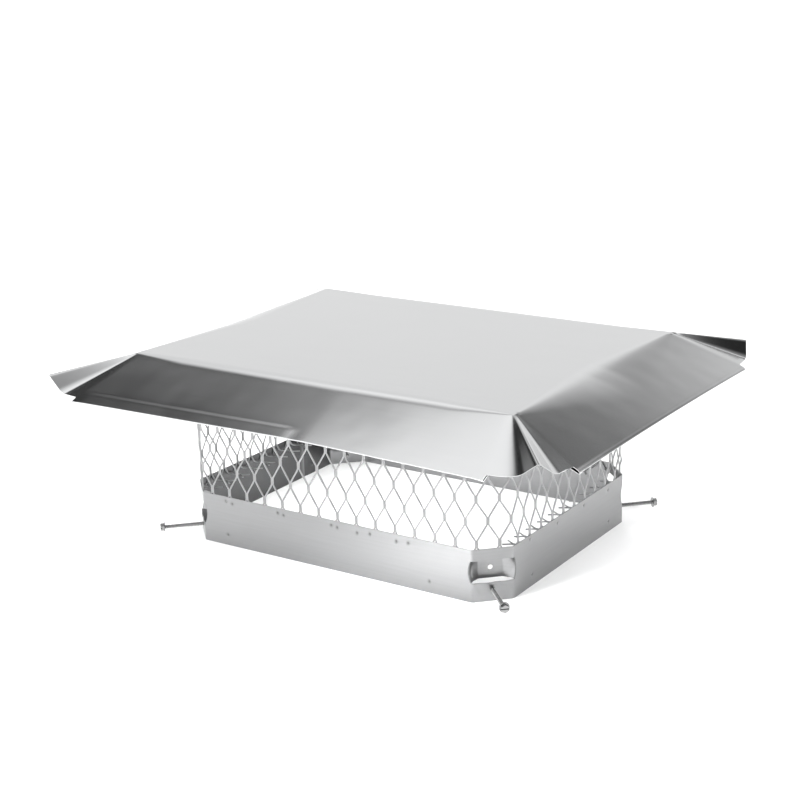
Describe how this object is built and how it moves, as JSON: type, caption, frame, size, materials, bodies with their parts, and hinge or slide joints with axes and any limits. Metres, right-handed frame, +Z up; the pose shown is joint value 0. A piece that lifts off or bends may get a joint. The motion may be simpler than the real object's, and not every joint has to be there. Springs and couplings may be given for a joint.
{
  "type": "chimney cap",
  "caption": "Bolt-on chimney cap: folded sheet lid with pleated corners over an expanded metal mesh box, on a corner-cut base band held by clamp screws.",
  "frame": {"origin": "middle of the base band's footprint, on the ground plane of its lower rim", "axes": "+X along the long side, +Y from front to back, +Z up towards the lid"},
  "size_m": [0.6158, 0.5058, 0.208],
  "materials": {
    "lid_steel": "bright cold-rolled stainless sheet with soft reflections",
    "band_steel": "satin stainless sheet with a fine rolling grain",
    "mesh_steel": "satin expanded stainless mesh",
    "screw_steel": "bright plated screw"
  },
  "bodies": {
    "cap": {"lid": "lid_steel", "mesh_screen": "mesh_steel", "base_band": "band_steel"},
    "screw_front_right": {"clamp_screw_front_right": "screw_steel"},
    "screw_back_right": {"clamp_screw_back_right": "screw_steel"},
    "screw_back_left": {"clamp_screw_back_left": "screw_steel"},
    "screw_front_left": {"clamp_screw_front_left": "screw_steel"}
  },
  "joints": [
    {"name": "screw_front_right_slide", "type": "slide", "parent": "cap", "child": "screw_front_right", "axis": [0.7071, -0.7071, 0], "range_m": [-0.0415, 0.005]},
    {"name": "screw_back_right_slide", "type": "slide", "parent": "cap", "child": "screw_back_right", "axis": [0.7071, 0.7071, 0], "range_m": [-0.0415, 0.005]},
    {"name": "screw_back_left_slide", "type": "slide", "parent": "cap", "child": "screw_back_left", "axis": [-0.7071, 0.7071, 0], "range_m": [-0.0415, 0.005]},
    {"name": "screw_front_left_slide", "type": "slide", "parent": "cap", "child": "screw_front_left", "axis": [-0.7071, -0.7071, 0], "range_m": [-0.0415, 0.005]}
  ]
}
